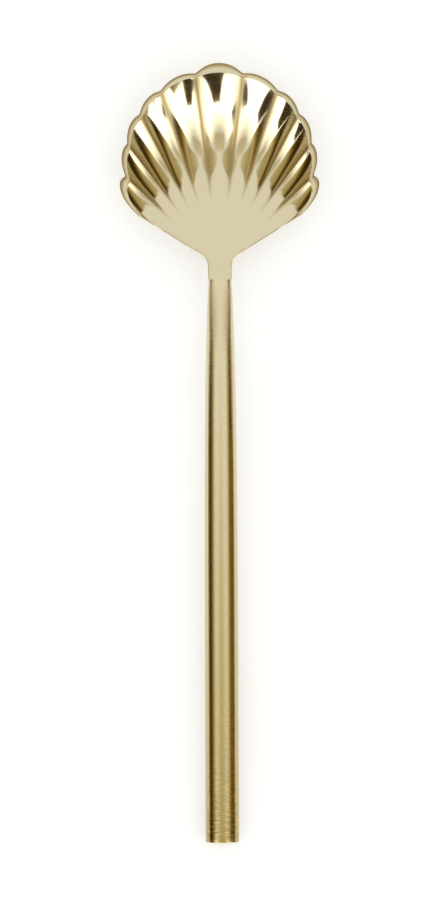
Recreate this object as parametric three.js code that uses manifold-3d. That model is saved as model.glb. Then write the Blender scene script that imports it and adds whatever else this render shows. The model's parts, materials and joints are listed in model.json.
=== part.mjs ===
// A small spoon with a scallop-shell bowl, lying on a table with its bowl facing up.
// Millimetres. X runs across the spoon, Y along it towards the bowl's tip, Z up.
// The bowl and its neck are one pressed blank, and the blank's tang is brazed into a solid round handle.

import * as THREE from "three";
import { mergeVertices } from "three/addons/utils/BufferGeometryUtils.js";
import Module from "manifold-3d";

const wasm = await Module();
wasm.setup();

// Whole spoon
const overallLength = 130; // from the handle's square-cut end to the tip of the bowl

// Plan of the bowl: lobes round a circle, and two straight sides that run down to the neck.
// The flutes and both sides point at the fan point, which is the origin of the bowl's own frame.
const notchRadius = 15.8; // from the bowl's centre to the notches between the lobes
const sideAngle = 58; // degrees from the spoon's axis to each straight side
const sideCut = 1.55; // how far each straight side cuts inside the circle of notches
const tipLobeRise = 1.2; // how far the lobe at the tip stands out past the notches
const sideLobeRise = 0.55;
const endLobeRise = 1.2; // the two lobes at the ends of the straight sides

// Flutes, as degrees at the fan point
const tipFlute = 14.15;
const nextFlute = 11.4; // the flute on each side of the one at the tip
const sideFlute = 9.2;
const sideFlutes = 3; // on each side of the bowl, between the next flute and the end flute
const endFlute = 12.6; // before the straight side cuts it off
const tipFluteDepth = 0.9;
const fluteDepth = 0.68;
const fluteFullness = 2.2; // power of the curve across a flute, 2 being a parabola
const fluteStart = 5.5; // from the fan point, along the axis, to where the flutes begin
const fluteFade = 7; // power with which a flute's hollow runs out under the lip

// Section of the bowl
const bowlDepth = 6; // from the lip down to the ridges at the deepest place
const rampLength = 8.5; // length over which the neck drops into the bowl
const sheet = 1; // thickness of the pressed bowl
const lipWidth = 0.75; // flat lip, at the notches
const lipThickness = 0.7;
const edgeUpright = 4; // power with which the blank's edge turns upright at the straight sides
const lipScallop = 0.35; // how far the lip's inner edge follows each lobe outwards
const endLipScallop = 0.95; // the same at the two end lobes

// Neck, tang and brazed seam
const neckWidth = 3.9;
const neckThickness = 2.6;
const neckFillet = 2.5; // between each straight side and the neck
const neckLength = 2.2; // from the fan point back to the shoulder round the tang
const neckRun = 16; // length over which the neck thins to the sheet
const tangLength = 8;
const tangStep = 1; // shoulder on each side of the tang
const tangRelief = 0.8; // shoulder above and below the tang
const seamThickness = 0.4; // ring of filler round the tang
const seamGap = 0.3; // on each face of the ring
const socketClearance = 0.3; // round the tang in its socket
const socketDepth = 9;

// Handle
const handleDiameter = 5.6; // at the square-cut end
const taperLength = 15; // over which the handle swells from the neck's width
const roundingLength = 7; // over which the flattened front turns round
const frontSquareness = 2.5; // power of the flattened front's section, 2 being an ellipse
const endChamfer = 0.15;

// Fineness of the facets
const stepsPerFlute = 6;
const neckRows = 7;
const bowlRows = 14;
const handleSides = 32;
const handleStations = 24;
const roundEndSteps = 8;
const depthSamples = 200;
const slopeStep = 0.01;

// Places that follow from the sizes above
const sideTurn = THREE.MathUtils.degToRad(sideAngle);
const bowlCentre = (notchRadius - sideCut) / Math.sin(sideTurn);
const innerRadius = notchRadius - lipWidth;
const tipY = bowlCentre + notchRadius + tipLobeRise;
const fanRadius = neckWidth + neckFillet / 2; // where the neck's rows give way to arcs round the fan point
const handleFrontY = -neckLength - seamThickness - 2 * seamGap;
const handleLength = overallLength - tipY + handleFrontY;
const axisZ = -neckThickness / 2;
const tangWidth = neckWidth - 2 * tangStep;
const tangThickness = neckThickness - 2 * tangRelief;

// Angles of the ridges on one side of the axis, from the flute at the tip out to the end flute.
const ridgeAngles = [tipFlute / 2, tipFlute / 2 + nextFlute];
for (let count = 0; count < sideFlutes; count += 1) {
  ridgeAngles.push(ridgeAngles.at(-1) + sideFlute);
}

const smooth = (share) => THREE.MathUtils.smoothstep(share, 0, 1);

// The flute at an angle in degrees: its rise outside the lip, its scallop inside the lip, its depth,
// and its hollow, which is 1 in the middle and 0 on a ridge.
function fluteAt(angle) {
  const away = Math.abs(angle);
  const outer = ridgeAngles.findIndex((ridge) => away <= ridge);
  if (outer === 0) {
    const hollow = 1 - (away / ridgeAngles[0]) ** fluteFullness;
    return { rise: tipLobeRise, scallop: lipScallop, depth: tipFluteDepth, hollow };
  }
  const inner = outer < 0 ? ridgeAngles.at(-1) : ridgeAngles[outer - 1];
  const width = outer < 0 ? endFlute : ridgeAngles[outer] - inner;
  const across = (2 * (away - inner)) / width - 1;
  const hollow = 1 - Math.abs(across) ** fluteFullness;
  if (outer < 0) {
    return { rise: endLobeRise, scallop: endLipScallop, depth: fluteDepth, hollow };
  }
  return { rise: sideLobeRise, scallop: lipScallop, depth: fluteDepth, hollow };
}

// Length of a ray from the fan point to a circle of the given radius about the bowl's centre.
function rayLength(turn, radius) {
  const past = radius ** 2 - (bowlCentre * Math.sin(turn)) ** 2;
  return bowlCentre * Math.cos(turn) + Math.sqrt(Math.max(past, 0));
}

// Shape of the dish without its flutes: a paraboloid about the centre, let down by a ramp from the neck.
function dishShare(x, y) {
  const outward = Math.hypot(x, y - bowlCentre) / innerRadius;
  const ramp = 1 - Math.exp(-((Math.max(y, 0) / rampLength) ** 2));
  return (1 - outward ** 2) * ramp;
}

let deepestShare = 0;
for (let sample = 0; sample <= depthSamples; sample += 1) {
  deepestShare = Math.max(deepestShare, dishShare(0, (tipY * sample) / depthSamples));
}

const dishHeight = (x, y) => (-bowlDepth * dishShare(x, y)) / deepestShare;

// Way from the lower face to the upper one: square to the dish, and upright at the straight sides.
function throughSheet(x, y, angle) {
  const slopeX = (dishHeight(x + slopeStep, y) - dishHeight(x - slopeStep, y)) / (2 * slopeStep);
  const slopeY = (dishHeight(x, y + slopeStep) - dishHeight(x, y - slopeStep)) / (2 * slopeStep);
  const lean = 1 - Math.abs(angle / sideAngle) ** edgeUpright;
  return new THREE.Vector3(-slopeX * lean, -slopeY * lean, 1).normalize();
}

// Thickness of the blank, from the neck's to the sheet's.
const wallAt = (y) => THREE.MathUtils.lerp(neckThickness, sheet, smooth((y + neckLength) / neckRun));

// Edge of the neck on the +X side: straight from the shoulder, round the fillet, along the straight side.
function neckEdge() {
  const half = neckWidth / 2;
  const tangent = neckFillet * Math.tan(sideTurn / 2);
  const arcStart = half / Math.tan(sideTurn) - tangent;
  const edge = new THREE.CurvePath();
  edge.add(new THREE.LineCurve(new THREE.Vector2(half, -neckLength), new THREE.Vector2(half, arcStart)));
  edge.add(new THREE.EllipseCurve(half + neckFillet, arcStart, neckFillet, neckFillet,
    Math.PI, Math.PI - sideTurn, true));
  const arcEnd = edge.curves[1].getPoint(1);
  const onSide = new THREE.Vector2(fanRadius * Math.sin(sideTurn), fanRadius * Math.cos(sideTurn));
  edge.add(new THREE.LineCurve(arcEnd, onSide));
  return edge;
}

// Angles of the columns of vertices, with the ridges and the straight sides among them.
function columnAngles() {
  const half = [...ridgeAngles, sideAngle];
  const stops = [...half.toReversed().map((angle) => -angle), ...half];
  const angles = [stops[0]];
  for (let stop = 1; stop < stops.length; stop += 1) {
    for (let step = 1; step <= stepsPerFlute; step += 1) {
      angles.push(THREE.MathUtils.lerp(stops[stop - 1], stops[stop], step / stepsPerFlute));
    }
  }
  return angles;
}

// Upper face of the neck: rows that change from the straight shoulder to an arc round the fan point.
function neckRow(edgePoint, share, angles) {
  const middleY = THREE.MathUtils.lerp(-neckLength, fanRadius, share);
  return angles.map((angle) => {
    const turn = THREE.MathUtils.degToRad(angle);
    const x = (edgePoint.x * Math.sin(turn)) / Math.sin(sideTurn);
    const bend = (1 - Math.cos(turn)) / (1 - Math.cos(sideTurn));
    const y = THREE.MathUtils.lerp(middleY, edgePoint.y, bend);
    return { top: new THREE.Vector3(x, y, dishHeight(x, y)), through: throughSheet(x, y, angle), y };
  });
}

// Upper face of the dish: a row at a share of the way from the fan arc to the lip's inner edge.
function dishRow(share, angles) {
  return angles.map((angle) => {
    const turn = THREE.MathUtils.degToRad(angle);
    const { scallop, depth, hollow } = fluteAt(angle);
    const rim = rayLength(turn, innerRadius);
    const plain = THREE.MathUtils.lerp(fanRadius, rim, share);
    const flutedRim = rayLength(turn, innerRadius + scallop * hollow);
    const fluted = THREE.MathUtils.lerp(fanRadius, flutedRim, share);
    const baseX = plain * Math.sin(turn);
    const baseY = plain * Math.cos(turn);
    const reach = plain / rim;
    const begin = fluteStart / (rim * Math.cos(turn));
    const grown = smooth((reach - begin) / (1 - begin)) * (1 - reach ** fluteFade);
    const z = dishHeight(baseX, baseY) - depth * hollow * grown;
    const top = new THREE.Vector3(fluted * Math.sin(turn), fluted * Math.cos(turn), z);
    return { top, through: throughSheet(baseX, baseY, angle), y: baseY };
  });
}

// Outer edge of the lip, at the given height, round the lobes.
function lipRow(height, angles) {
  return angles.map((angle) => {
    const turn = THREE.MathUtils.degToRad(angle);
    const { rise, hollow } = fluteAt(angle);
    const reach = rayLength(turn, notchRadius + rise * hollow);
    return new THREE.Vector3(reach * Math.sin(turn), reach * Math.cos(turn), height);
  });
}

// Closed mesh from grids of rows: an upper face, a lower face and the walls that join their edges.
function closedShell(upper, lower) {
  const positions = [];
  const triangles = [];
  const number = (rows) => rows.map((row) => row.map((point) => {
    positions.push(point.x, point.y, point.z);
    return positions.length / 3 - 1;
  }));
  const quad = (a, b, c, d) => triangles.push(a, b, c, a, c, d);
  const top = number(upper);
  const bottom = number(lower);
  const last = top[0].length - 1;
  const cover = (grid, flip) => {
    for (let row = 1; row < grid.length; row += 1) {
      const [before, after] = [grid[row - 1], grid[row]];
      for (let column = 1; column <= last; column += 1) {
        const corners = [before[column - 1], before[column], after[column], after[column - 1]];
        quad(...(flip ? corners.reverse() : corners));
      }
    }
  };
  cover(top, false);
  cover(bottom, true);
  for (let column = 1; column <= last; column += 1) {
    quad(top.at(-1)[column - 1], top.at(-1)[column], bottom.at(-1)[column], bottom.at(-1)[column - 1]);
    quad(top[0][column], top[0][column - 1], bottom[0][column - 1], bottom[0][column]);
  }
  const shared = bottom.length - 1; // rows that both faces have, before the lip
  for (let row = 1; row < shared; row += 1) {
    quad(top[row - 1][last], bottom[row - 1][last], bottom[row][last], top[row][last]);
    quad(top[row][0], bottom[row][0], bottom[row - 1][0], top[row - 1][0]);
  }
  // The upper face has one row more, the lip's inner edge, so the walls' last stretch is a fan of three.
  triangles.push(top[shared - 1][last], bottom[shared - 1][last], top[shared][last]);
  triangles.push(bottom[shared - 1][last], bottom[shared][last], top[shared][last]);
  triangles.push(bottom[shared][last], top[shared + 1][last], top[shared][last]);
  triangles.push(top[shared - 1][0], top[shared][0], bottom[shared - 1][0]);
  triangles.push(bottom[shared - 1][0], top[shared][0], bottom[shared][0]);
  triangles.push(bottom[shared][0], top[shared][0], top[shared + 1][0]);
  return solid(positions, triangles);
}

const solid = (positions, triangles) => new wasm.Manifold(new wasm.Mesh({
  numProp: 3,
  vertProperties: Float32Array.from(positions),
  triVerts: Uint32Array.from(triangles),
}));

function solidFrom(geometry) {
  geometry.deleteAttribute("normal");
  geometry.deleteAttribute("uv");
  const merged = mergeVertices(geometry);
  return solid(merged.attributes.position.array, merged.index.array);
}

function geometryFrom(body) {
  const mesh = body.getMesh();
  const geometry = new THREE.BufferGeometry();
  geometry.setAttribute("position", new THREE.BufferAttribute(mesh.vertProperties, mesh.numProp));
  geometry.setIndex(new THREE.BufferAttribute(mesh.triVerts, 1));
  geometry.computeVertexNormals();
  return geometry;
}

// Flat tongue with a round end, centred on the handle's axis, from one Y to another further back.
function tongue(fromY, toY, width, thickness) {
  const half = width / 2;
  const outline = new THREE.Shape();
  outline.moveTo(half, fromY);
  outline.lineTo(-half, fromY);
  outline.lineTo(-half, toY + half);
  outline.absarc(0, toY + half, half, Math.PI, 2 * Math.PI, false);
  const body = new THREE.ExtrudeGeometry(outline, {
    depth: thickness,
    bevelEnabled: false,
    curveSegments: roundEndSteps,
  });
  body.translate(0, 0, axisZ - thickness / 2);
  return solidFrom(body);
}

// Section of the handle at a distance back from its front: a flattened oblong that turns into a circle.
function handleSection(distance) {
  const swell = Math.exp(-distance / taperLength);
  const flat = Math.exp(-((distance / roundingLength) ** 2));
  const halfWidth = THREE.MathUtils.lerp(handleDiameter, neckWidth, swell) / 2;
  const halfHeight = halfWidth * THREE.MathUtils.lerp(1, neckThickness / neckWidth, flat);
  const power = 2 / THREE.MathUtils.lerp(2, frontSquareness, flat);
  const points = [];
  for (let side = 0; side < handleSides; side += 1) {
    const turn = (2 * Math.PI * side) / handleSides;
    const x = Math.sign(Math.cos(turn)) * Math.abs(Math.cos(turn)) ** power * halfWidth;
    const z = Math.sign(Math.sin(turn)) * Math.abs(Math.sin(turn)) ** power * halfHeight;
    points.push(new THREE.Vector2(x, z));
  }
  return points;
}

// Pressed bowl with its neck, and the tang behind the neck.
function makeShellBowl() {
  const angles = columnAngles();
  const edge = neckEdge();
  const rows = [];
  for (let row = 0; row < neckRows; row += 1) {
    const share = row / neckRows;
    rows.push(neckRow(edge.getPoint(share), share, angles));
  }
  for (let row = 0; row <= bowlRows; row += 1) {
    rows.push(dishRow(row / bowlRows, angles));
  }
  const under = ({ top, through, y }) => top.clone().addScaledVector(through, -wallAt(y));
  const upper = rows.map((row) => row.map(({ top }) => top));
  const lower = rows.slice(0, -1).map((row) => row.map(under));
  upper.push(lipRow(0, angles));
  lower.push(lipRow(-lipThickness, angles));
  const tang = tongue(0, -neckLength - tangLength, tangWidth, tangThickness);
  return geometryFrom(closedShell(upper, lower).add(tang));
}

// Ring of filler between the neck's shoulder and the handle's front, round the tang.
function makeBrazeSeam() {
  const ring = new THREE.Shape(handleSection(0));
  const hole = new THREE.Path();
  const halfWidth = tangWidth / 2 + socketClearance;
  const halfHeight = tangThickness / 2 + socketClearance;
  hole.moveTo(-halfWidth, -halfHeight);
  hole.lineTo(-halfWidth, halfHeight);
  hole.lineTo(halfWidth, halfHeight);
  hole.lineTo(halfWidth, -halfHeight);
  hole.closePath();
  ring.holes.push(hole);
  const body = new THREE.ExtrudeGeometry(ring, { depth: seamThickness, bevelEnabled: false });
  body.rotateX(Math.PI / 2);
  body.translate(0, -neckLength - seamGap, axisZ);
  return geometryFrom(solidFrom(body));
}

// Solid round handle: sections lofted from the flattened front to the chamfered end, with a blind socket.
function makeHandleRod() {
  const stops = [];
  for (let station = 0; station <= handleStations; station += 1) {
    stops.push((handleLength - endChamfer) * (station / handleStations) ** 2);
  }
  const rings = stops.map((stop) => handleSection(stop).map(({ x, y }) => new THREE.Vector3(x, -stop, y)));
  const shrink = 1 - (2 * endChamfer) / handleDiameter;
  rings.push(rings.at(-1).map(({ x, z }) => new THREE.Vector3(x * shrink, -handleLength, z * shrink)));
  const positions = rings.flat().flatMap(({ x, y, z }) => [x, y + handleFrontY, z + axisZ]);
  const frontCentre = positions.length / 3;
  const endCentre = frontCentre + 1;
  positions.push(0, handleFrontY, axisZ, 0, handleFrontY - handleLength, axisZ);
  const lastRing = (rings.length - 1) * handleSides;
  const triangles = [];
  for (let side = 0; side < handleSides; side += 1) {
    const next = (side + 1) % handleSides;
    for (let start = 0; start < lastRing; start += handleSides) {
      const ahead = start + handleSides;
      triangles.push(start + side, start + next, ahead + next, start + side, ahead + next, ahead + side);
    }
    triangles.push(frontCentre, next, side);
    triangles.push(endCentre, lastRing + side, lastRing + next);
  }
  const socket = tongue(
    handleFrontY + seamThickness,
    handleFrontY - socketDepth,
    tangWidth + 2 * socketClearance,
    tangThickness + 2 * socketClearance,
  );
  return geometryFrom(solid(positions, triangles).subtract(socket));
}

// Bowl: polished pale gold plate
const polishedGold = new THREE.MeshStandardMaterial({ color: 0xd8cba4, roughness: 0.08, metalness: 1 });

// Handle: the same plate over a finely turned surface
const satinGold = new THREE.MeshStandardMaterial({ color: 0xd2bf8a, roughness: 0.28, metalness: 1 });

// Filler, plated over with the rest
const platedFiller = new THREE.MeshStandardMaterial({ color: 0xd5c69a, roughness: 0.2, metalness: 1 });

const spoon = new THREE.Group();

function addPiece(name, geometry, material) {
  const piece = new THREE.Mesh(geometry, material);
  piece.name = name;
  spoon.add(piece);
}

const bowlGeometry = makeShellBowl();
addPiece("shell_bowl", bowlGeometry, polishedGold);
addPiece("braze_seam", makeBrazeSeam(), platedFiller);
addPiece("handle_rod", makeHandleRod(), satinGold);

// The spoon lies on the handle's end and on the lowest place of the bowl: the flattest line under both.
const heel = new THREE.Vector2(handleFrontY - handleLength + endChamfer, axisZ - handleDiameter / 2);
let restSlope = 0;
const bowlPoints = bowlGeometry.attributes.position;
for (let point = 0; point < bowlPoints.count; point += 1) {
  restSlope = Math.min(restSlope, (bowlPoints.getZ(point) - heel.y) / (bowlPoints.getY(point) - heel.x));
}
spoon.rotation.x = -Math.atan(restSlope);

// Origin on the table, under the middle of the spoon.
const lying = new THREE.Box3().setFromObject(spoon, true);
const middle = lying.getCenter(new THREE.Vector3());
spoon.position.set(-middle.x, -middle.y, -lying.min.z);

export default spoon;
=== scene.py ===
# shell spoon in pale gold: pressed scallop bowl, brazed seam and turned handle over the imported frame
import json
import math
import bmesh
import bpy
import numpy as np
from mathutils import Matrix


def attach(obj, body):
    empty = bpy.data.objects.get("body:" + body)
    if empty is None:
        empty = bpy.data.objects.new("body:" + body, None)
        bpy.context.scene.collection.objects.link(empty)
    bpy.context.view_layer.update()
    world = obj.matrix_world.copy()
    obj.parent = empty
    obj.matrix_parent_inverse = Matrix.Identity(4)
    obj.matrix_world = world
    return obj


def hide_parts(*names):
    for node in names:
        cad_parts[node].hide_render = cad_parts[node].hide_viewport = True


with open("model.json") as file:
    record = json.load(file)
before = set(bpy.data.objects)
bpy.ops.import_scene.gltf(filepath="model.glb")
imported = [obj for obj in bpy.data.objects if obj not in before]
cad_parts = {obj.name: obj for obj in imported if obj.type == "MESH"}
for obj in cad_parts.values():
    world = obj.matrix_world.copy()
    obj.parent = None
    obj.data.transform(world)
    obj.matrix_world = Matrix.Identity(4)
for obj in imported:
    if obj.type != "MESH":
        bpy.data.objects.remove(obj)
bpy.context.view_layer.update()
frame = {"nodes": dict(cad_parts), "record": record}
print("frame loaded:", ", ".join(sorted(frame["nodes"])))

mm = 0.001  # the spoon's settings are in millimetres, Blender works in metres

# the straight spoon before it is laid on the table, which every piece is fitted to
spoon = {
    "length": 130.0,          # square-cut end to tip
    "neckWidth": 3.9,
    "neckThickness": 2.6,
    "neckLength": 2.2,        # fan point back to the shoulder
    "seamLength": 1.0,        # shoulder to the front of the handle
    "handleDiameter": 5.6,
    "tangWidth": 1.9,         # tongue behind the shoulder, brazed into the handle's socket
    "tangThickness": 1.0,
    "tangLength": 8.0,
    "socketClearance": 0.3,
    "socketDepth": 9.0,
}

bowl = {
    "notchRadius": 15.8,      # bowl's centre to the notches between lobes
    "sideAngle": 58.0,        # axis to each straight side, degrees
    "sideCut": 1.55,          # straight sides cut this far inside the circle of notches
    "tipLobeRise": 1.2,       # lobes outside the circle of notches
    "sideLobeRise": 0.544,
    "endLobeRise": 1.194,
    "tipFlute": 14.15,        # widths of the flutes as degrees at the fan point
    "nextFlute": 11.4,
    "sideFlute": 9.2,
    "sideFlutes": 3,
    "endFlute": 12.6,
    "tipFluteDepth": 0.9,
    "fluteDepth": 0.68,
    "fluteFullness": 2.2,     # 2 is a parabola across, more is flatter in its middle
    "fluteStart": 5.5,        # along the axis from the fan point
    "fluteFade": 7.0,         # how late the flutes run out under the lip
    "ridgeSoftness": 0.07,    # share of half a flute that buffing has rounded off
    "ridgeLineFrom": 10.0,    # ridges are worn dull and carry a painted dark shade line from here, along the rays from the fan point
    "ridgeLineFull": 17.0,
    "ridgeLineSharpness": 4,  # more is a narrower line
    "depth": 6.0,
    "depthSamples": 400,      # along the axis, to find the deepest spot
    "rampLength": 8.5,        # how soon the dish falls away from the neck
    "slopeStep": 0.01,        # for the dish's slopes
    "sheet": 0.98,            # buffing took the rest
    "lipWidth": 0.75,
    "lipThickness": 0.7,
    "lipScallop": 0.35,       # how far the lip's inner edge follows each lobe
    "endLipScallop": 0.95,
    "edgeRadius": 0.16,       # buffed edges
    "edgeUpright": 4.0,       # how late the edge turns upright towards the straight sides
    "neckEdgeWearAndShade": 0.25,     # how dull the edges are and how much painted shade darkens them, 0 to 1
    "sideEdgeWearAndShade": 0.7,
    "edgeWearAndShadeReach": 1.5,     # inwards, in edge radii
    "neckFillet": 2.5,
    "neckRun": 16.0,          # from the shoulder to where the neck is as thin as the sheet
    "stepsPerFlute": 20,      # the grid, finer than the solid's
    "neckRows": 30,
    "dishRows": 110,
    "edgeRows": 5,
}

sideTurn = math.radians(bowl["sideAngle"])
bowlCentre = (bowl["notchRadius"] - bowl["sideCut"]) / math.sin(sideTurn)
innerRadius = bowl["notchRadius"] - bowl["lipWidth"]
tipY = bowlCentre + bowl["notchRadius"] + bowl["tipLobeRise"]
fanRadius = spoon["neckWidth"] + bowl["neckFillet"] / 2
axisZ = -spoon["neckThickness"] / 2
handleFrontY = -spoon["neckLength"] - spoon["seamLength"]
handleLength = spoon["length"] - tipY + handleFrontY

# the record's flat end says where the handle ends and how the spoon is tilted on the table
endMount = next(mount for mount in frame["record"]["mounts"] if mount["name"] == "handle_end")
alongSpoon = -np.array(endMount["axis"])
acrossSpoon = np.array([1.0, 0.0, 0.0])
upSpoon = np.cross(acrossSpoon, alongSpoon)
spoonAxes = np.stack([acrossSpoon, alongSpoon, upSpoon])
endPoint = np.array(endMount["pos_m"])
straightEnd = np.array([0.0, tipY - spoon["length"], axisZ])


# straight spoon in millimetres to the table in metres: turned by the tilt, its end shifted to the mount
def onTable(points):
    return endPoint + (points - straightEnd) @ spoonAxes * mm


meshing = {
    "mergeWithin": 1e-7,      # metres
    "dissolveUnder": 1e-8,
    "sharpFrom": 40.0,        # edges that turn more stay sharp, degrees
}


# mesh from patches, each a grid of points: quads between neighbours, equal points merged, normals set.
# Extras are values at the points, which the materials read
def meshFromPatches(name, patches, extras=None):
    points = []
    quads = []
    count = 0
    for patch in patches:
        rows, columns = patch.shape[:2]
        index = np.arange(rows * columns).reshape(rows, columns) + count
        corners = [index[:-1, :-1], index[:-1, 1:], index[1:, 1:], index[1:, :-1]]
        quads.append(np.stack(corners, axis=-1).reshape(-1, 4))
        points.append(patch.reshape(-1, 3))
        count += rows * columns
    mesh = bpy.data.meshes.new(name)
    mesh.from_pydata(np.concatenate(points).tolist(), [], np.concatenate(quads).tolist())
    for label, values in (extras or {}).items():
        layer = mesh.attributes.new(label, "FLOAT_VECTOR" if values.ndim == 2 else "FLOAT", "POINT")
        layer.data.foreach_set("vector" if values.ndim == 2 else "value", values.ravel())
    joined = bmesh.new()
    joined.from_mesh(mesh)
    bmesh.ops.remove_doubles(joined, verts=joined.verts, dist=meshing["mergeWithin"])
    bmesh.ops.dissolve_degenerate(joined, edges=joined.edges, dist=meshing["dissolveUnder"])
    bmesh.ops.recalc_face_normals(joined, faces=joined.faces)
    joined.to_mesh(mesh)
    joined.free()
    mesh.polygons.foreach_set("use_smooth", np.ones(len(mesh.polygons), dtype=bool))
    mesh.set_sharp_from_angle(angle=math.radians(meshing["sharpFrom"]))
    piece = bpy.data.objects.new(name, mesh)
    bpy.context.scene.collection.objects.link(piece)
    return piece


# straight way from start to end: start plus a share of the difference
def blend(start, end, share):
    return start + (end - start) * share


# soft step from 0 to 1: three squares less two cubes of the share
def smoothRise(share):
    share = np.clip(share, 0.0, 1.0)
    return share * share * (3.0 - 2.0 * share)


# angles of the ridges on one side, from the flute at the tip to the end flute
sideFluteWidths = [bowl["sideFlute"]] * bowl["sideFlutes"]
ridges = np.cumsum([bowl["tipFlute"] / 2, bowl["nextFlute"], *sideFluteWidths])


# flute at each angle: its lobe's rise, how far the lip's inner edge follows it, its depth, and its hollow,
# one less a power of the way from middle to ridge, with a hyperbola that rounds the ridge
def fluteShape(angles):
    away = np.abs(angles)
    order = np.searchsorted(ridges, away)  # 0 is the tip's flute
    inner = np.concatenate([[-ridges[0]], ridges])[order]
    widths = np.array([bowl["tipFlute"], bowl["nextFlute"], *sideFluteWidths, bowl["endFlute"]])
    sideRises = [bowl["sideLobeRise"]] * (len(ridges) - 1)
    rises = np.array([bowl["tipLobeRise"], *sideRises, bowl["endLobeRise"]])
    across = 2.0 * (away - inner) / widths[order] - 1.0
    fromRidge = 1.0 - np.abs(across)
    soft = bowl["ridgeSoftness"]
    fromRidge = np.sqrt(fromRidge**2 + soft**2) - soft * (1.0 - fromRidge)
    return {
        "rise": rises[order],
        "scallop": np.where(order == len(ridges), bowl["endLipScallop"], bowl["lipScallop"]),
        "depth": np.where(order == 0, bowl["tipFluteDepth"], bowl["fluteDepth"]),
        "hollow": 1.0 - np.abs(1.0 - fromRidge) ** bowl["fluteFullness"],
    }


# ray from the fan point to a circle about the bowl's centre: d cos + sqrt(r r - d d sin sin)
def rayLength(turn, radius):
    aside = bowlCentre * np.sin(turn)
    return bowlCentre * np.cos(turn) + np.sqrt(np.maximum(radius**2 - aside**2, 0.0))


# dish without flutes: a paraboloid about the centre times a ramp, one less a bell curve from the neck on
def dishShare(x, y):
    outward = (x**2 + (y - bowlCentre) ** 2) / innerRadius**2
    return (1.0 - outward) * (1.0 - np.exp(-((np.maximum(y, 0.0) / bowl["rampLength"]) ** 2)))


deepestShare = dishShare(0.0, np.linspace(0.0, tipY, bowl["depthSamples"])).max()


# dish scaled to the bowl's depth, downwards
def dishHeight(x, y):
    return -bowl["depth"] * dishShare(x, y) / deepestShare


# way through the sheet: the dish's normal from its slopes, turned upright towards the straight sides
def throughSheet(x, y, angles):
    step = bowl["slopeStep"]
    lean = 1.0 - np.abs(angles / bowl["sideAngle"]) ** bowl["edgeUpright"]
    slopeX = (dishHeight(x + step, y) - dishHeight(x - step, y)) / (2 * step) * lean
    slopeY = (dishHeight(x, y + step) - dishHeight(x, y - step)) / (2 * step) * lean
    normal = np.stack([-slopeX, -slopeY, np.ones_like(slopeX)], axis=-1)
    return normal / np.linalg.norm(normal, axis=-1, keepdims=True)


# neck's edge by arc length: a straight line, the fillet's arc, then a line along the straight side
def neckEdge(shares):
    half = spoon["neckWidth"] / 2
    fillet = bowl["neckFillet"]
    arcStart = half / math.tan(sideTurn) - fillet * math.tan(sideTurn / 2)
    arcEnd = np.array([half + fillet * (1.0 - math.cos(sideTurn)), arcStart + fillet * math.sin(sideTurn)])
    sideEnd = np.array([fanRadius * math.sin(sideTurn), fanRadius * math.cos(sideTurn)])
    sideRun = sideEnd - arcEnd
    lengths = np.array([arcStart + spoon["neckLength"], fillet * sideTurn, np.linalg.norm(sideRun)])
    run = shares * lengths.sum()
    straight = -spoon["neckLength"] + np.minimum(run, lengths[0])
    turned = np.clip((run - lengths[0]) / fillet, 0.0, sideTurn)
    along = np.clip((run - lengths[0] - lengths[1]) / lengths[2], 0.0, 1.0)
    x = half + fillet * (1.0 - np.cos(turned)) + sideRun[0] * along
    y = straight + fillet * np.sin(turned) + sideRun[1] * along
    return x, y


# upper face over angle and row: neck rows bend from the straight shoulder to an arc, dish rows follow rays
# to the lip. With it come each point's spot on the plain dish, its distance from the edge, and its wear
# with the painted dark shade along the ridges
def upperFace(angles):
    turn = np.radians(angles)[None, :]
    shares = (np.arange(bowl["neckRows"]) / bowl["neckRows"])[:, None]
    edgeX, edgeY = neckEdge(shares)
    neckX = edgeX * np.sin(turn) / math.sin(sideTurn)
    bend = (1.0 - np.cos(turn)) / (1.0 - math.cos(sideTurn))
    neckY = blend(blend(-spoon["neckLength"], fanRadius, shares), edgeY, bend)
    neckEdgeGap = edgeX - np.abs(neckX)
    neck = np.stack([neckX, neckY, dishHeight(neckX, neckY)], axis=-1)
    flute = fluteShape(angles)
    hollow = flute["hollow"]
    shares = np.linspace(0.0, 1.0, bowl["dishRows"])[:, None]
    rim = rayLength(turn, innerRadius)
    plain = blend(fanRadius, rim, shares)
    fluted = blend(fanRadius, rayLength(turn, innerRadius + flute["scallop"] * hollow), shares)
    baseX, baseY = plain * np.sin(turn), plain * np.cos(turn)
    reach = plain / rim
    begin = bowl["fluteStart"] / (rim * np.cos(turn))
    grown = smoothRise((reach - begin) / (1.0 - begin)) * (1.0 - reach ** bowl["fluteFade"])
    dishZ = dishHeight(baseX, baseY) - flute["depth"] * hollow * grown
    dish = np.stack([fluted * np.sin(turn), fluted * np.cos(turn), dishZ], axis=-1)
    base = np.concatenate([np.stack([neckX, neckY], axis=-1), np.stack([baseX, baseY], axis=-1)])
    edgeGap = np.concatenate([neckEdgeGap, fluted * np.sin(sideTurn - np.abs(turn))])
    # ridge lines: wear with painted dark shade along the ridges, growing along the rays from the fan point
    dulledAndShaded = smoothRise((plain - bowl["ridgeLineFrom"]) / (bowl["ridgeLineFull"] - bowl["ridgeLineFrom"]))
    ridgeLines = (1.0 - hollow) ** bowl["ridgeLineSharpness"] * dulledAndShaded
    ridgeWearAndShade = np.concatenate([np.zeros_like(neckX), ridgeLines])
    return np.concatenate([neck, dish]), base, edgeGap, ridgeWearAndShade


# drop of a rounded edge at a distance from it: a quarter circle
def roundDrop(gap, radius):
    near = np.clip(1.0 - gap / radius, 0.0, 1.0)
    return radius * (1.0 - np.sqrt(1.0 - near**2))


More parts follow.
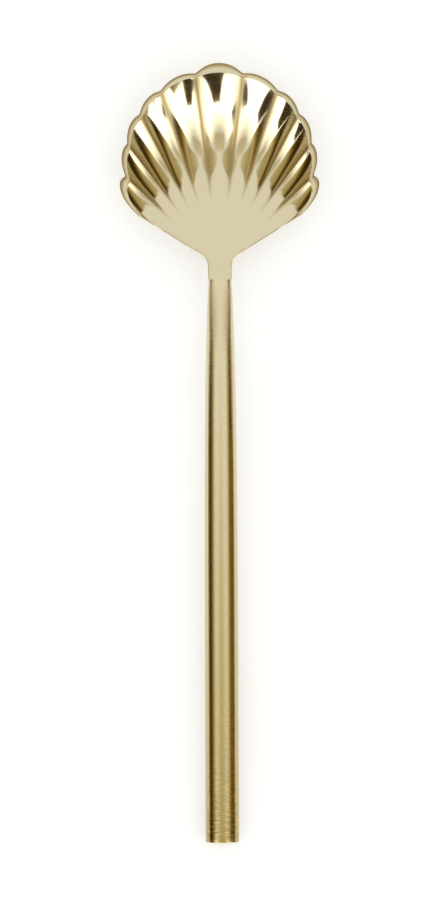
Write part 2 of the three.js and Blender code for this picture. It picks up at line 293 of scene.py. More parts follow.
# lip over angle and row: flat from the inner edge, then a quarter circle over the outer edge.
# It faces up with 1 and down with -1
def lipRows(angles, inner, height, facing):
    turn = np.radians(angles)[None, :]
    flute = fluteShape(angles)
    outer = rayLength(turn, bowl["notchRadius"] + flute["rise"] * flute["hollow"])
    radius = bowl["edgeRadius"]
    lean = np.linspace(0.0, math.pi / 2, bowl["edgeRows"])[:, None]
    middle = blend(inner[None, :], outer - radius, 0.5)
    reach = np.concatenate([middle, outer - radius * (1.0 - np.sin(lean))])
    flat = np.zeros_like(outer)
    drop = np.concatenate([flat, radius * (1.0 - np.cos(lean)) + flat])
    return np.stack([reach * np.sin(turn), reach * np.cos(turn), height - facing * drop], axis=-1)


# round end of the tang or of its socket: half a circle as wide as the tongue
def tongueEnd(x, half, endY):
    return endY + half - np.sqrt(np.maximum(half**2 - x**2, 0.0))


# tang over the neck's columns: from the shoulder's upper edge over the tongue, round its end and back below
def tangRows(shoulderTop, shoulderBottom):
    x = shoulderTop[:, 0] * spoon["tangWidth"] / spoon["neckWidth"]
    root = np.full_like(x, -spoon["neckLength"])
    end = tongueEnd(x, spoon["tangWidth"] / 2, -spoon["neckLength"] - spoon["tangLength"])
    above = np.full_like(x, axisZ + spoon["tangThickness"] / 2)
    below = above - spoon["tangThickness"]
    corners = ((root, above), (end, above), (end, below), (root, below))
    tongue = [np.stack([x, y, z], axis=-1) for y, z in corners]
    return np.stack([shoulderTop, *tongue, shoulderBottom])


# values of the upper face on every patch: walls, tang and cheeks repeat those of the edge they join
def overBowl(values, tangCount, cheekCount):
    walls = [np.stack([edge, edge]) for edge in (values[-1], values[:, 0], values[:, -1])]
    tang = np.stack([values[0]] * tangCount)
    cheeks = [np.stack([values[0, side]] * cheekCount) for side in (0, -1)]
    parts = [values, values, *walls, tang, *cheeks]
    return np.concatenate([part.reshape(-1, *values.shape[2:]) for part in parts])


# bowl as a closed shell: upper face and lip, the same rows a sheet's thickness below, walls, and the tang
def makeShellBowl():
    stops = np.concatenate([[-bowl["sideAngle"]], -ridges[::-1], ridges, [bowl["sideAngle"]]])
    steps = np.arange(bowl["stepsPerFlute"]) / bowl["stepsPerFlute"]
    angles = np.append((stops[:-1, None] + np.diff(stops)[:, None] * steps).ravel(), stops[-1])
    face, base, edgeGap, ridgeWearAndShade = upperFace(angles)
    thinned = smoothRise((base[..., 1] + spoon["neckLength"]) / bowl["neckRun"])
    wall = blend(spoon["neckThickness"], bowl["sheet"], thinned)
    under = face - throughSheet(base[..., 0], base[..., 1], angles[None, :]) * wall[..., None]
    lip = lipRows(angles, np.hypot(*face[-1, :, :2].T), 0.0, 1)
    underLip = lipRows(angles, np.hypot(*under[-1, :, :2].T), -bowl["lipThickness"], -1)
    upper = np.concatenate([face, lip])
    lower = np.concatenate([under[:-1], (under[-2:-1] + under[-1:]) / 2, underLip])
    lipReach = np.hypot(lip[..., 0], lip[..., 1])
    gap = np.concatenate([edgeGap, lipReach * np.sin(sideTurn - np.abs(np.radians(angles)))])
    radius = bowl["edgeRadius"]
    upper[..., 2] -= roundDrop(gap, radius)
    lower[..., 2] += roundDrop(gap, radius)
    walls = [np.stack([upper[-1], lower[-1]])]
    walls += [np.stack([upper[:, side], lower[:, side]]) for side in (0, -1)]
    tang = tangRows(upper[0], lower[0])
    # the tang's two sides, between its upper three rows and its lower three
    cheeks = [np.stack([tang[:3, side], tang[:2:-1, side]]) for side in (0, -1)]
    # wear and painted dark shade are 1 round the lip's edge and less along the neck and the straight sides
    lipWearAndShade = np.concatenate([np.zeros((1, len(angles))), np.ones((bowl["edgeRows"], len(angles)))])
    sideWearAndShade = blend(bowl["neckEdgeWearAndShade"], bowl["sideEdgeWearAndShade"], smoothRise(upper[..., 1] / fanRadius))
    sideWearAndShade = sideWearAndShade * np.clip(bowl["edgeWearAndShadeReach"] - gap / radius, 0.0, 1.0)
    wearAndShade = np.maximum(np.concatenate([ridgeWearAndShade, lipWearAndShade]), sideWearAndShade)
    # flow runs along the flutes in its second value and across them in its first
    across = np.broadcast_to(np.radians(angles) * bowlCentre, wearAndShade.shape)
    along = np.concatenate([np.hypot(base[..., 0], base[..., 1]), lipReach])
    flow = np.stack([across, along, np.zeros_like(along)], axis=-1) * mm
    counts = (len(tang), cheeks[0][..., 0].size)
    extras = {"wearAndShade": overBowl(wearAndShade, *counts), "flow": overBowl(flow, *counts)}
    patches = [upper, lower, *walls, tang, *cheeks]
    return meshFromPatches("shell_bowl_skin", [onTable(patch) for patch in patches], extras)


handle = {
    "taperLength": 15.0,      # swell from the neck's width
    "roundingLength": 7.0,    # flattened front to round
    "frontSquareness": 2.3,   # 2 is an ellipse
    "endRadius": 0.15,
    "sides": 128,
    "stations": 160,
    "frontCrowding": 0.75,    # how far the stations crowd towards the front, where the section changes
    "edgeRows": 6,
    "endRows": 4,
    "socketEndRows": 9,
}


# section at each distance from the front: a superellipse swelling by an exponential, its power falling to 2
def handleSections(distance):
    swell = np.exp(-distance / handle["taperLength"])
    flat = np.exp(-((distance / handle["roundingLength"]) ** 2))
    halfWidth = blend(spoon["handleDiameter"], spoon["neckWidth"], swell) / 2
    halfHeight = halfWidth * blend(1.0, spoon["neckThickness"] / spoon["neckWidth"], flat)
    power = 2.0 / blend(2.0, handle["frontSquareness"], flat)
    turn = np.linspace(0.0, 2 * math.pi, handle["sides"] + 1)[None, :]
    x = np.sign(np.cos(turn)) * np.abs(np.cos(turn)) ** power[:, None] * halfWidth[:, None]
    z = np.sign(np.sin(turn)) * np.abs(np.sin(turn)) ** power[:, None] * halfHeight[:, None]
    return x, z


# hole for the tang: a circle's points pushed out to a square, stretched to the tongue with its clearance
def tangHole():
    turn = np.linspace(0.0, 2 * math.pi, handle["sides"] + 1)
    outward = 1.0 / np.maximum(np.abs(np.cos(turn)), np.abs(np.sin(turn)))
    halfWidth = spoon["tangWidth"] / 2 + spoon["socketClearance"]
    halfHeight = spoon["tangThickness"] / 2 + spoon["socketClearance"]
    return halfWidth * np.cos(turn) * outward, halfHeight * np.sin(turn) * outward


# socket from the middle of its round end out to its walls, forward to its mouth and over the front's face
def socketRows():
    x, z = tangHole()
    outward = np.linspace(0.0, 1.0, handle["socketEndRows"])[:, None]
    end = tongueEnd(x * outward, x.max(), handleFrontY - spoon["socketDepth"])
    bottom = np.stack([x * outward, end, z * outward + axisZ], axis=-1)
    mouth = np.stack([x, np.full_like(x, handleFrontY), z + axisZ], axis=-1)
    frontX, frontZ = handleSections(np.zeros(1))
    front = np.stack([frontX[0], np.full_like(x, handleFrontY), frontZ[0] + axisZ], axis=-1)
    return np.concatenate([bottom, mouth[None], front[None]])


# handle as a loft: the socket, sections from front to end, a rounded edge, a flat end drawn in to a point
def makeHandle():
    radius = handle["endRadius"]
    shares = np.linspace(0.0, 1.0, handle["stations"])
    body = (handleLength - radius) * blend(shares, shares**2, handle["frontCrowding"])
    lean = np.linspace(0.0, math.pi / 2, handle["edgeRows"])[1:]
    rounded = handleLength - radius * (1.0 - np.sin(lean))
    inward = np.arange(handle["endRows"])[::-1] / handle["endRows"]
    distance = np.concatenate([body, rounded, np.full(len(inward), handleLength)])
    shrink = 1.0 - 2.0 * radius * (1.0 - np.cos(lean)) / spoon["handleDiameter"]
    scale = np.concatenate([np.ones(len(body)), shrink, shrink[-1] * inward])[:, None]
    x, z = handleSections(distance)
    y = np.broadcast_to(handleFrontY - distance[:, None], x.shape)
    points = np.stack([x * scale, y, z * scale + axisZ], axis=-1)
    # flow runs round the handle in its first value and along it in its second
    around = np.linspace(0.0, math.pi * spoon["handleDiameter"], x.shape[1])[None, :]
    along = distance[:, None] + (1.0 - scale) * spoon["handleDiameter"] / 2
    flow = np.stack(np.broadcast_arrays(around, along, np.zeros_like(x)), axis=-1) * mm
    edge = np.concatenate([np.zeros(len(body) - 1), np.ones(len(lean) + 1), np.zeros(len(inward))])
    wearAndShade = np.broadcast_to(edge[:, None], x.shape)
    socket = socketRows()
    extras = {
        "flow": np.concatenate([flow[:1].repeat(len(socket), 0), flow]).reshape(-1, 3),
        "wearAndShade": np.concatenate([wearAndShade[:1].repeat(len(socket), 0), wearAndShade]).ravel(),
    }
    return meshFromPatches("handle_rod_skin", [onTable(socket), onTable(points)], extras)


seam = {
    "crown": 0.004,           # filler stands this share proud where it was ground back
    "rows": 9,
}


# seam as a ring: the handle's front section swollen by a sine along it, and back through the tang's hole
def makeSeam():
    shares = np.linspace(0.0, 1.0, seam["rows"])
    swell = (1.0 + seam["crown"] * np.sin(math.pi * shares))[:, None]
    x, z = handleSections(np.zeros(len(shares)))
    holeX, holeZ = tangHole()
    # after the sections come the hole's back and front edge, then the first section again to close the ring
    x = np.concatenate([x * swell, holeX[None], holeX[None], x[:1]])
    z = np.concatenate([z * swell, holeZ[None], holeZ[None], z[:1]])
    back = np.concatenate([shares, [1.0, 0.0, 0.0]])[:, None] * spoon["seamLength"]
    points = np.stack([x, np.broadcast_to(-spoon["neckLength"] - back, x.shape), z + axisZ], axis=-1)
    return meshFromPatches("braze_seam_skin", [onTable(points)])


# sRGB hex to linear: a straight line near black, a power of 2.4 above it
def colour(hexCode):
    shares = [int(hexCode[start:start + 2], 16) / 255.0 for start in (1, 3, 5)]
    linear = [share / 12.92 if share <= 0.04045 else ((share + 0.055) / 1.055) ** 2.4 for share in shares]
    return (*linear, 1.0)


# one node with its settings, and inputs that are values or the sockets to link from.
# A Mix node's inputs go by number: 0 is the share, 2 and 3 are its numbers, 6 and 7 its colours
def addNode(tree, kind, inputs=None, **settings):
    node = tree.nodes.new(kind)
    for label, value in settings.items():
        setattr(node, label, value)
    for socket, value in (inputs or {}).items():
        if isinstance(value, bpy.types.NodeSocket):
            tree.links.new(value, node.inputs[socket])
        else:
            node.inputs[socket].default_value = value
    return node


# stops of a colour ramp from pairs of position and colour
def setStops(ramp, pairs):
    stops = ramp.color_ramp.elements
    while len(stops) < len(pairs):
        stops.new(0.5)
    for stop, (position, tone) in zip(stops, pairs):
        stop.position, stop.color = position, tone


# empty material and its node tree
def newMaterial(name):
    material = bpy.data.materials.new(name)
    material.use_nodes = True
    material.node_tree.nodes.clear()
    return material, material.node_tree


# two values as a Map Range node's range from or to, times a unit
def limits(label, pair, unit=1.0):
    return {label + " Min": pair[0] * unit, label + " Max": pair[1] * unit}


noiseSpan = (0.3, 0.7)  # a noise texture mostly stays within these


# pale gold plate on buffed stainless: a mirror with a faint haze from buffing, dull on worn edges and
# ridges, where a darker tone paints shade
def buffedGoldPlate():
    look = {
        "base": "#D7CCAB",
        "wornAndShaded": "#9A8656",
        "roughness": (0.08, 0.13),   # clear and hazed
        "wornRoughness": 0.5,
        "lineSize": (0.12, 4.0),     # width and length, mm: buffing lines are finer, drawn to just show
        "lineBump": (0.04, 0.01),    # strength and height, mm
        "waveSize": 2.5,             # haze and waves that the buffing wheel leaves, mm
        "waveBump": (0.25, 0.02),
    }
    material, tree = newMaterial("buffed_pale_gold_plate")
    flow = addNode(tree, "ShaderNodeAttribute", attribute_name="flow")
    wearAndShade = addNode(tree, "ShaderNodeAttribute", attribute_name="wearAndShade")
    place = addNode(tree, "ShaderNodeTexCoord")
    lineScale = (1.0 / (look["lineSize"][0] * mm), 1.0 / (look["lineSize"][1] * mm), 1.0)
    stretched = addNode(tree, "ShaderNodeMapping", {"Vector": flow.outputs["Vector"], "Scale": lineScale})
    lines = addNode(tree, "ShaderNodeTexNoise", {
        "Vector": stretched.outputs[0], "Scale": 1.0, "Detail": 3.0})
    haze = addNode(tree, "ShaderNodeTexNoise", {
        "Vector": place.outputs["Object"], "Scale": 1.0 / (look["waveSize"] * mm), "Detail": 2.0})
    rough = addNode(tree, "ShaderNodeMapRange", {
        "Value": haze.outputs["Fac"], **limits("From", noiseSpan), **limits("To", look["roughness"])})
    wornAndShaded = addNode(tree, "ShaderNodeMix", {
        0: wearAndShade.outputs["Fac"], 2: rough.outputs[0], 3: look["wornRoughness"]})
    strength, height = look["lineBump"]
    lineBump = addNode(tree, "ShaderNodeBump", {
        "Height": lines.outputs["Fac"], "Strength": strength, "Distance": height * mm})
    strength, height = look["waveBump"]
    waves = addNode(tree, "ShaderNodeBump", {
        "Height": haze.outputs["Fac"], "Strength": strength, "Distance": height * mm,
        "Normal": lineBump.outputs[0]})
    # darker tone on edges and ridges: wear with painted shade
    tint = addNode(tree, "ShaderNodeMix", {
        0: wearAndShade.outputs["Fac"], 6: colour(look["base"]), 7: colour(look["wornAndShaded"])}, data_type="RGBA")
    shader = addNode(tree, "ShaderNodeBsdfPrincipled", {
        "Base Color": tint.outputs[2], "Metallic": 1.0,
        "Roughness": wornAndShaded.outputs[0], "Normal": waves.outputs[0]})
    addNode(tree, "ShaderNodeOutputMaterial", {"Surface": shader.outputs[0]})
    return material


# pale gold plate on a finely turned rod: satin, with short turning ticks round it that grow towards the end.
# Its colour runs from a paler neck end to a darker far end, which is painted light and shade
def turnedGoldPlate():
    look = {
        "neckEnd": "#E0D5B5",
        "farEnd": "#C4B27A",
        "endEdge": "#B9A874",
        "satin": ((0.0, 0.42), (0.1, 0.28), (0.25, 0.18), (0.7, 0.18), (1.0, 0.2)),  # way down, roughness
        "unevenness": (0.88, 1.12),    # of the roughness, from tick to tick
        "tickSize": (1.5, 0.3),        # round and along, mm: turning marks are finer, drawn to show
        "tickHeight": 0.03,            # mm
        "tickBump": (0.08, 0.3),       # strength at the neck and at the end
        "tickBumpFrom": 0.4,           # way down where it starts to grow
        "tickTones": (0.38, 1.15),     # painted shade in the grooves and painted highlight on the crests
        "tickContrast": (0.35, 0.65),  # part of the noise that the tones spread over
        "tickShare": (0.12, 0.85),     # how much of the tones shows at the neck and at the end
        "tickLateness": 10.0,          # more grows later
        "topFewerTicks": (0.2, 1.1),         # fewer painted ticks along the top, mm to each side
        "topShare": 0.25,              # of the ticks, left there
        "topLine": "#8C7A48",          # darker line along the top
        "topLineSides": (0.04, 0.16),  # full and faded out, mm to each side
        "topLineShare": 0.34,          # how clear it is at the end
    }
    material, tree = newMaterial("turned_pale_gold_plate")
    flow = addNode(tree, "ShaderNodeAttribute", attribute_name="flow")
    wearAndShade = addNode(tree, "ShaderNodeAttribute", attribute_name="wearAndShade")
    apart = addNode(tree, "ShaderNodeSeparateXYZ", {0: flow.outputs["Vector"]})
    down = addNode(tree, "ShaderNodeMapRange", {
        "Value": apart.outputs[1], "From Min": 0.0, "From Max": handleLength * mm})
    tickScale = (1.0 / (look["tickSize"][0] * mm), 1.0 / (look["tickSize"][1] * mm), 1.0)
    stretched = addNode(tree, "ShaderNodeMapping", {"Vector": flow.outputs["Vector"], "Scale": tickScale})
    ticks = addNode(tree, "ShaderNodeTexNoise", {
        "Vector": stretched.outputs[0], "Scale": 1.0, "Detail": 1.5, "Roughness": 0.6})
    growing = addNode(tree, "ShaderNodeMapRange", {
        "Value": down.outputs[0], "From Min": look["tickBumpFrom"], **limits("To", look["tickBump"])})
    bump = addNode(tree, "ShaderNodeBump", {
        "Height": ticks.outputs["Fac"], "Strength": growing.outputs[0], "Distance": look["tickHeight"] * mm})
    satin = addNode(tree, "ShaderNodeValToRGB", {"Fac": down.outputs[0]})
    setStops(satin, [(position, (value, value, value, 1.0)) for position, value in look["satin"]])
    uneven = addNode(tree, "ShaderNodeMapRange", {
        "Value": ticks.outputs["Fac"], **limits("From", noiseSpan), **limits("To", look["unevenness"])})
    rough = addNode(tree, "ShaderNodeMath", {
        0: satin.outputs[0], 1: uneven.outputs[0]}, operation="MULTIPLY")
    # paler neck end to darker far end: painted light and shade along the handle
    tint = addNode(tree, "ShaderNodeMix", {
        0: down.outputs[0], 6: colour(look["neckEnd"]), 7: colour(look["farEnd"])}, data_type="RGBA")
    # the same ticks painted into the colour as shade and highlight, less of them along the top
    late = addNode(tree, "ShaderNodeMath", {0: down.outputs[0], 1: look["tickLateness"]}, operation="POWER")
    share = addNode(tree, "ShaderNodeMapRange", {
        "Value": late.outputs[0], **limits("To", look["tickShare"])})
    topAround = math.pi / 4 * spoon["handleDiameter"] * mm  # the top is a quarter of the way round
    offTop = addNode(tree, "ShaderNodeMath", {0: apart.outputs[0], 1: topAround}, operation="SUBTRACT")
    sideways = addNode(tree, "ShaderNodeMath", {0: offTop.outputs[0]}, operation="ABSOLUTE")
    spared = addNode(tree, "ShaderNodeMapRange", {
        "Value": sideways.outputs[0], **limits("From", look["topFewerTicks"], mm), "To Min": look["topShare"]})
    tickShare = addNode(tree, "ShaderNodeMath", {
        0: share.outputs[0], 1: spared.outputs[0]}, operation="MULTIPLY")
    groove = addNode(tree, "ShaderNodeMapRange", {
        "Value": ticks.outputs["Fac"],
        **limits("From", look["tickContrast"]), **limits("To", look["tickTones"])})
    grooved = addNode(tree, "ShaderNodeMix", {
        0: tickShare.outputs[0], 6: tint.outputs[2], 7: groove.outputs[0]},
        data_type="RGBA", blend_type="MULTIPLY")
    # the darker line along the top grows clearer towards the end
    nearTop = addNode(tree, "ShaderNodeMapRange", {
        "Value": sideways.outputs[0], **limits("From", look["topLineSides"], mm),
        "To Min": look["topLineShare"], "To Max": 0.0})
    lineShare = addNode(tree, "ShaderNodeMath", {
        0: nearTop.outputs[0], 1: down.outputs[0]}, operation="MULTIPLY")
    lined = addNode(tree, "ShaderNodeMix", {
        0: lineShare.outputs[0], 6: grooved.outputs[2], 7: colour(look["topLine"])}, data_type="RGBA")
    wornAndShaded = addNode(tree, "ShaderNodeMix", {
        0: wearAndShade.outputs["Fac"], 6: lined.outputs[2], 7: colour(look["endEdge"])}, data_type="RGBA")
    shader = addNode(tree, "ShaderNodeBsdfPrincipled", {
        "Base Color": wornAndShaded.outputs[2], "Metallic": 1.0,
        "Roughness": rough.outputs[0], "Normal": bump.outputs[0]})
    addNode(tree, "ShaderNodeOutputMaterial", {"Surface": shader.outputs[0]})
    return material


# brazing filler ground flush and plated over: the same gold with a trace of pinholes
def platedFiller():
    look = {
        "base": "#DFD6B6",
        "pit": "#D3C8A0",
        "pitSize": 0.2,              # mm
        "pitSpan": (0.62, 0.75),     # part of the noise that makes pinholes
        "pitBump": (0.2, 0.01),      # strength and height, mm
        "roughness": (0.25, 0.38),   # from smooth to pitted
    }
    material, tree = newMaterial("plated_brazing_filler")
    place = addNode(tree, "ShaderNodeTexCoord")
    pits = addNode(tree, "ShaderNodeTexNoise", {
        "Vector": place.outputs["Object"], "Scale": 1.0 / (look["pitSize"] * mm), "Detail": 2.0})
    spots = addNode(tree, "ShaderNodeMapRange", {
        "Value": pits.outputs["Fac"], **limits("From", look["pitSpan"])})
    tint = addNode(tree, "ShaderNodeMix", {
        0: spots.outputs[0], 6: colour(look["base"]), 7: colour(look["pit"])}, data_type="RGBA")
    rough = addNode(tree, "ShaderNodeMapRange", {
        "Value": pits.outputs["Fac"], **limits("To", look["roughness"])})
    strength, height = look["pitBump"]
    bump = addNode(tree, "ShaderNodeBump", {
        "Height": spots.outputs[0], "Strength": strength, "Distance": height * mm})
    shader = addNode(tree, "ShaderNodeBsdfPrincipled", {
        "Base Color": tint.outputs[2], "Metallic": 1.0,
        "Roughness": rough.outputs[0], "Normal": bump.outputs[0]})
    addNode(tree, "ShaderNodeOutputMaterial", {"Surface": shader.outputs[0]})
    return material


for make, node, finish, slotName in (
    (makeShellBowl, "shell_bowl", buffedGoldPlate, "polished_gold"),
    (makeSeam, "braze_seam", platedFiller, "plated_filler"),
    (makeHandle, "handle_rod", turnedGoldPlate, "satin_gold"),
):
    piece = make()
    piece.data.materials.append(finish())
    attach(piece, "root")
    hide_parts(node)
    print("made", piece.name, len(piece.data.polygons), "faces")

cardSteps = {"flat": 9, "round": 97, "arch": 25, "domeDown": 33, "domeAcross": 65}  # points along a card


# flat card: a corner plus shares of two of its sides
def makeFlat(name, corner, across, along):
    share = np.linspace(0.0, 1.0, cardSteps["flat"])[:, None]
    points = np.array(corner) + (share * np.array(across))[None, :] + (share * np.array(along))[:, None]
    return meshFromPatches(name, [points])


# emitting cloth shaded along one axis, so that what the metal shows of it has a soft side
def shadedCloth(name, axis, start, end, tones, strength=1.0):
    material, tree = newMaterial(name)
    place = addNode(tree, "ShaderNodeTexCoord")
    apart = addNode(tree, "ShaderNodeSeparateXYZ", {0: place.outputs["Object"]})
    along = addNode(tree, "ShaderNodeMapRange", {
        "Value": apart.outputs[axis], **limits("From", (start, end))})
    tint = addNode(tree, "ShaderNodeValToRGB", {"Fac": along.outputs[0]})
    setStops(tint, [(position, colour(tone)) for position, tone in tones])
    glow = addNode(tree, "ShaderNodeEmission", {"Color": tint.outputs[0], "Strength": strength})
    addNode(tree, "ShaderNodeOutputMaterial", {"Surface": glow.outputs[0]})
    return material


# card that only the metal shows, to shape its reflections
def hangCard(card, cloth):
    card.data.materials.append(cloth)
    card.visible_camera = False
    card.visible_diffuse = False
    card.visible_shadow = False
    print("hung", card.name)


floorBoard = {
    "size": 4.0,              # metres
    "tones": ("#DCDCDA", "#E2E2E0"),
    "mottleSize": 30.0,       # mm
    "glow": 0.35,             # lifts the open floor to white, the shadow stays
}


# white painted board: diffuse, with a faint mottled tone and a trace of glow
def paintedBoard():
    material, tree = newMaterial("white_painted_board")
    place = addNode(tree, "ShaderNodeTexCoord")
    mottle = addNode(tree, "ShaderNodeTexNoise", {
        "Vector": place.outputs["Object"], "Scale": 1.0 / (floorBoard["mottleSize"] * mm)})
    dim, pale = (colour(tone) for tone in floorBoard["tones"])
    tint = addNode(tree, "ShaderNodeMix", {0: mottle.outputs["Fac"], 6: dim, 7: pale}, data_type="RGBA")
    paint = addNode(tree, "ShaderNodeBsdfDiffuse", {"Color": tint.outputs[2]})
    glow = addNode(tree, "ShaderNodeEmission", {"Color": colour("#FFFFFF"), "Strength": floorBoard["glow"]})
    both = addNode(tree, "ShaderNodeAddShader", {0: paint.outputs[0], 1: glow.outputs[0]})
    addNode(tree, "ShaderNodeOutputMaterial", {"Surface": both.outputs[0]})
    return material


floorSide = floorBoard["size"]
floorCorner = (-floorSide / 2, -floorSide / 2, 0.0)
floor = makeFlat("floor", floorCorner, (floorSide, 0.0, 0.0), (0.0, floorSide, 0.0))
floor.data.materials.append(paintedBoard())
print("floor laid")

horizon = {
    "radius": 1.2,            # dark cloth round the table, metres
    "foot": 0.002,
    "top": 46.0,              # degrees above the table
    "gap": 45.0,              # open to each side of the tip's direction, degrees
    "tones": (                # degrees up, tone
        (0.0, "#3C2C0E"),
        (13.0, "#3E2B08"),
        (21.0, "#6B5420"),
        (29.0, "#A88F50"),
        (38.0, "#DCCB98"),
        (46.0, "#F4EEDC"),
    ),
}
horizonRise = math.tan(math.radians(horizon["top"]))


# dark cloth as a band round a circle, from the table up to its angle, open towards the tip
def makeHorizon():
    gap = math.radians(horizon["gap"])
    turn = np.linspace(gap, 2 * math.pi - gap, cardSteps["round"])[None, :]
    radius = horizon["radius"]
    height = np.array([horizon["foot"], radius * horizonRise])[:, None]
    band = np.broadcast_arrays(radius * np.sin(turn), radius * np.cos(turn), height)
    return meshFromPatches("horizon_cloth", [np.stack(band, axis=-1)])


horizonTones = [(math.tan(math.radians(up)) / horizonRise, tone) for up, tone in horizon["tones"]]
hangCard(makeHorizon(), shadedCloth("dark_cloth", 2, 0.0, horizonRise * horizon["radius"], horizonTones))


# card as part of a dome over the handle: angles from overhead by angles to the right, narrower at the top
def makeDome(name, reach, leanFrom, leanTo, middle, halfTurn, taper=1.0, about=(0.0, 0.0)):
    lean = np.radians(np.linspace(leanFrom, leanTo, cardSteps["domeDown"]))[:, None]
    narrowing = np.linspace(taper, 1.0, cardSteps["domeDown"])[:, None]
    across = np.linspace(-halfTurn, halfTurn, cardSteps["domeAcross"])[None, :]
    turn = np.radians(middle + across * narrowing)
    x = about[0] + reach * np.sin(lean) * np.sin(turn)
    y = about[1] - reach * np.sin(lean) * np.cos(turn)
    return meshFromPatches(name, [np.stack(np.broadcast_arrays(x, y, reach * np.cos(lean)), axis=-1)])


# heights of a dome's upper and lower edge: its reach times the cosines of their angles from overhead
def domeHeights(reach, leanFrom, leanTo):
    return [reach * math.cos(math.radians(lean)) for lean in (leanFrom, leanTo)]


panel = {
    "reach": 1.0,             # bright panel over the handle, metres
    "leans": (25.0, 88.0),    # degrees from overhead
    "halfTurn": 68.0,         # degrees to each side
    "strength": 2.5,
    "tones": ((0.0, "#979795"), (0.05, "#ACACAA"), (0.18, "#DADAD8"), (0.35, "#FFFFFF")),  # way down, tone
}
panelHeights = domeHeights(panel["reach"], *panel["leans"])
hangCard(
    makeDome("bright_panel", panel["reach"], *panel["leans"], 0.0, panel["halfTurn"]),
    shadedCloth("panel_cloth", 2, *panelHeights, panel["tones"], panel["strength"]),
)

veil = {
    "reach": 0.9,             # dim veil between the tent's top and the panel, metres
    "leans": (3.0, 25.0),     # degrees from overhead
    "halfWidth": 0.3,
    "tones": ((0.0, "#F4F1E6"), (0.3, "#E3DCC2"), (1.0, "#D8CFB0")),  # way down the handle, tone
}


# veil as a strip of an arch over the handle, between two angles from overhead
def makeVeil():
    lean = np.radians(np.linspace(*veil["leans"], cardSteps["arch"]))[:, None]
    x = np.array([-veil["halfWidth"], veil["halfWidth"]])[None, :]
    y, z = -veil["reach"] * np.sin(lean), veil["reach"] * np.cos(lean)
    return meshFromPatches("dim_veil", [np.stack(np.broadcast_arrays(x, y, z), axis=-1)])


veilEnds = [-veil["reach"] * math.sin(math.radians(lean)) for lean in veil["leans"]]
hangCard(makeVeil(), shadedCloth("veil_cloth", 1, *veilEnds, veil["tones"]))

flags = {
    "reach": 0.8,             # dark flags before the panel, metres
    "foot": 89.9,             # degrees from overhead
    "places": ((8.0, 14.0, 30.0), (-57.0, 12.0, 27.0)),  # degrees to the right, half width and height
    "taper": 0.7,             # width of a flag's top as a share of its foot
    "shadeTop": 0.56,         # height where the tones end, metres
    "tones": ((0.0, "#2C1E0A"), (0.5, "#4A340E"), (1.0, "#9A8040")),  # way up, tone
}
flagCloth = shadedCloth("flag_cloth", 2, 0.0, flags["shadeTop"], flags["tones"])
for number, (middle, halfTurn, height) in enumerate(flags["places"]):
    name = "dark_flag_%d" % number
    flag = makeDome(name, flags["reach"], 90.0 - height, flags["foot"], middle, halfTurn, flags["taper"])
    hangCard(flag, flagCloth)

# paler screen standing to the right of the handle, mm
screen = {
    "distance": 40.0,
    "ends": (-75.0, 2.0),
    "heights": (1.0, 17.0),
    "tones": ((0.0, "#6A5220"), (0.6, "#7A6230"), (1.0, "#8E7640")),  # way up, tone
}
screenFoot, screenTop = (height * mm for height in screen["heights"])
screenNear, screenFar = (end * mm for end in screen["ends"])
screenCorner = (screen["distance"] * mm, screenNear, screenFoot)
screenSides = ((0.0, screenFar - screenNear, 0.0), (0.0, 0.0, screenTop - screenFoot))
screenCloth = shadedCloth("screen_cloth", 2, 0.0, screenTop, screen["tones"])
hangCard(makeFlat("right_screen", screenCorner, *screenSides), screenCloth)

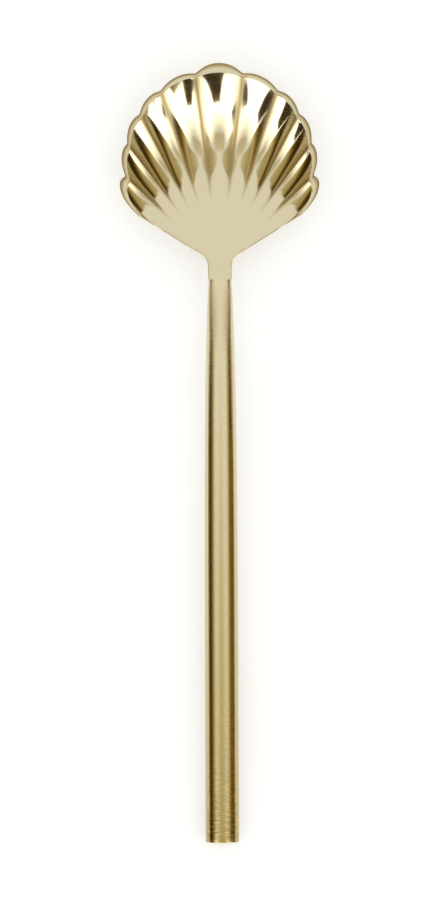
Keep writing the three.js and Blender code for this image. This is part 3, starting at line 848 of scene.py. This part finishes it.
# cards lying just over the table beside the handle, mm
skirts = {
    "places": {               # near and far side, and tone
        "left_skirt": (-28.0, -1000.0, "#8E7A48"),
        "right_skirt": (22.0, 1000.0, "#BCA972"),
    },
    "ends": (-400.0, 20.0),
    "height": 0.5,
}
skirtBack, skirtFront = (end * mm for end in skirts["ends"])
for name, (near, far, tone) in skirts["places"].items():
    corner = (near * mm, skirtBack, skirts["height"] * mm)
    skirt = makeFlat(name, corner, ((far - near) * mm, 0.0, 0.0), (0.0, skirtFront - skirtBack, 0.0))
    evenTones = ((0.0, tone), (1.0, tone))
    hangCard(skirt, shadedCloth(name + "_cloth", 0, near * mm, far * mm, evenTones))

shades = {
    "reach": 0.1,             # small shades to both sides of the bowl, metres
    "leans": (9.0, 48.0),     # degrees from overhead
    "middles": {"left_shade": -103.0, "right_shade": 103.0},  # degrees to the right
    "halfTurn": 28.0,
    "tones": ((0.0, "#EEEADA"), (0.15, "#D6CDAC"), (0.5, "#C2B68C"), (1.0, "#B8AB80")),  # way down, tone
}
bowlMiddle = onTable(np.array([0.0, bowlCentre, 0.0]))
shadeHeights = domeHeights(shades["reach"], *shades["leans"])
for name, middle in shades["middles"].items():
    sizes = (shades["reach"], *shades["leans"], middle, shades["halfTurn"])
    shade = makeDome(name + "_card", *sizes, about=bowlMiddle)
    hangCard(shade, shadedCloth(name + "_cloth", 2, *shadeHeights, shades["tones"]))

world = bpy.data.worlds.new("white_tent")
bpy.context.scene.world = world
world.use_nodes = True
world.node_tree.nodes.clear()
tent = addNode(world.node_tree, "ShaderNodeBackground", {"Color": colour("#FFFFFF"), "Strength": 1.0})
addNode(world.node_tree, "ShaderNodeOutputWorld", {"Surface": tent.outputs[0]})
print("tent lit")

view = {
    "pictureHeight": 902,     # pixels
    "pixelsPerMm": 6.0,
    "distance": 1200.0,       # above the spoon, mm
    "levelZ": 6.0,            # height at which the scale holds
    "centre": (0.385, 0.4),   # spot under the middle of the picture
    "roll": -0.25,            # degrees
    "sensor": 36.0,
    "clipEnd": 20.0,          # metres
}

cameraData = bpy.data.cameras.new("overhead")
cameraData.sensor_width = view["sensor"]
cameraData.lens = view["sensor"] * view["distance"] * view["pixelsPerMm"] / view["pictureHeight"]
cameraData.clip_end = view["clipEnd"]
camera = bpy.data.objects.new("overhead", cameraData)
camera.location = (view["centre"][0] * mm, view["centre"][1] * mm, (view["distance"] + view["levelZ"]) * mm)
camera.rotation_euler = (0.0, 0.0, math.radians(view["roll"]))
bpy.context.scene.collection.objects.link(camera)
bpy.context.scene.camera = camera
bpy.context.scene.view_settings.view_transform = "Standard"
print("camera set", view["distance"], "mm above the spoon")
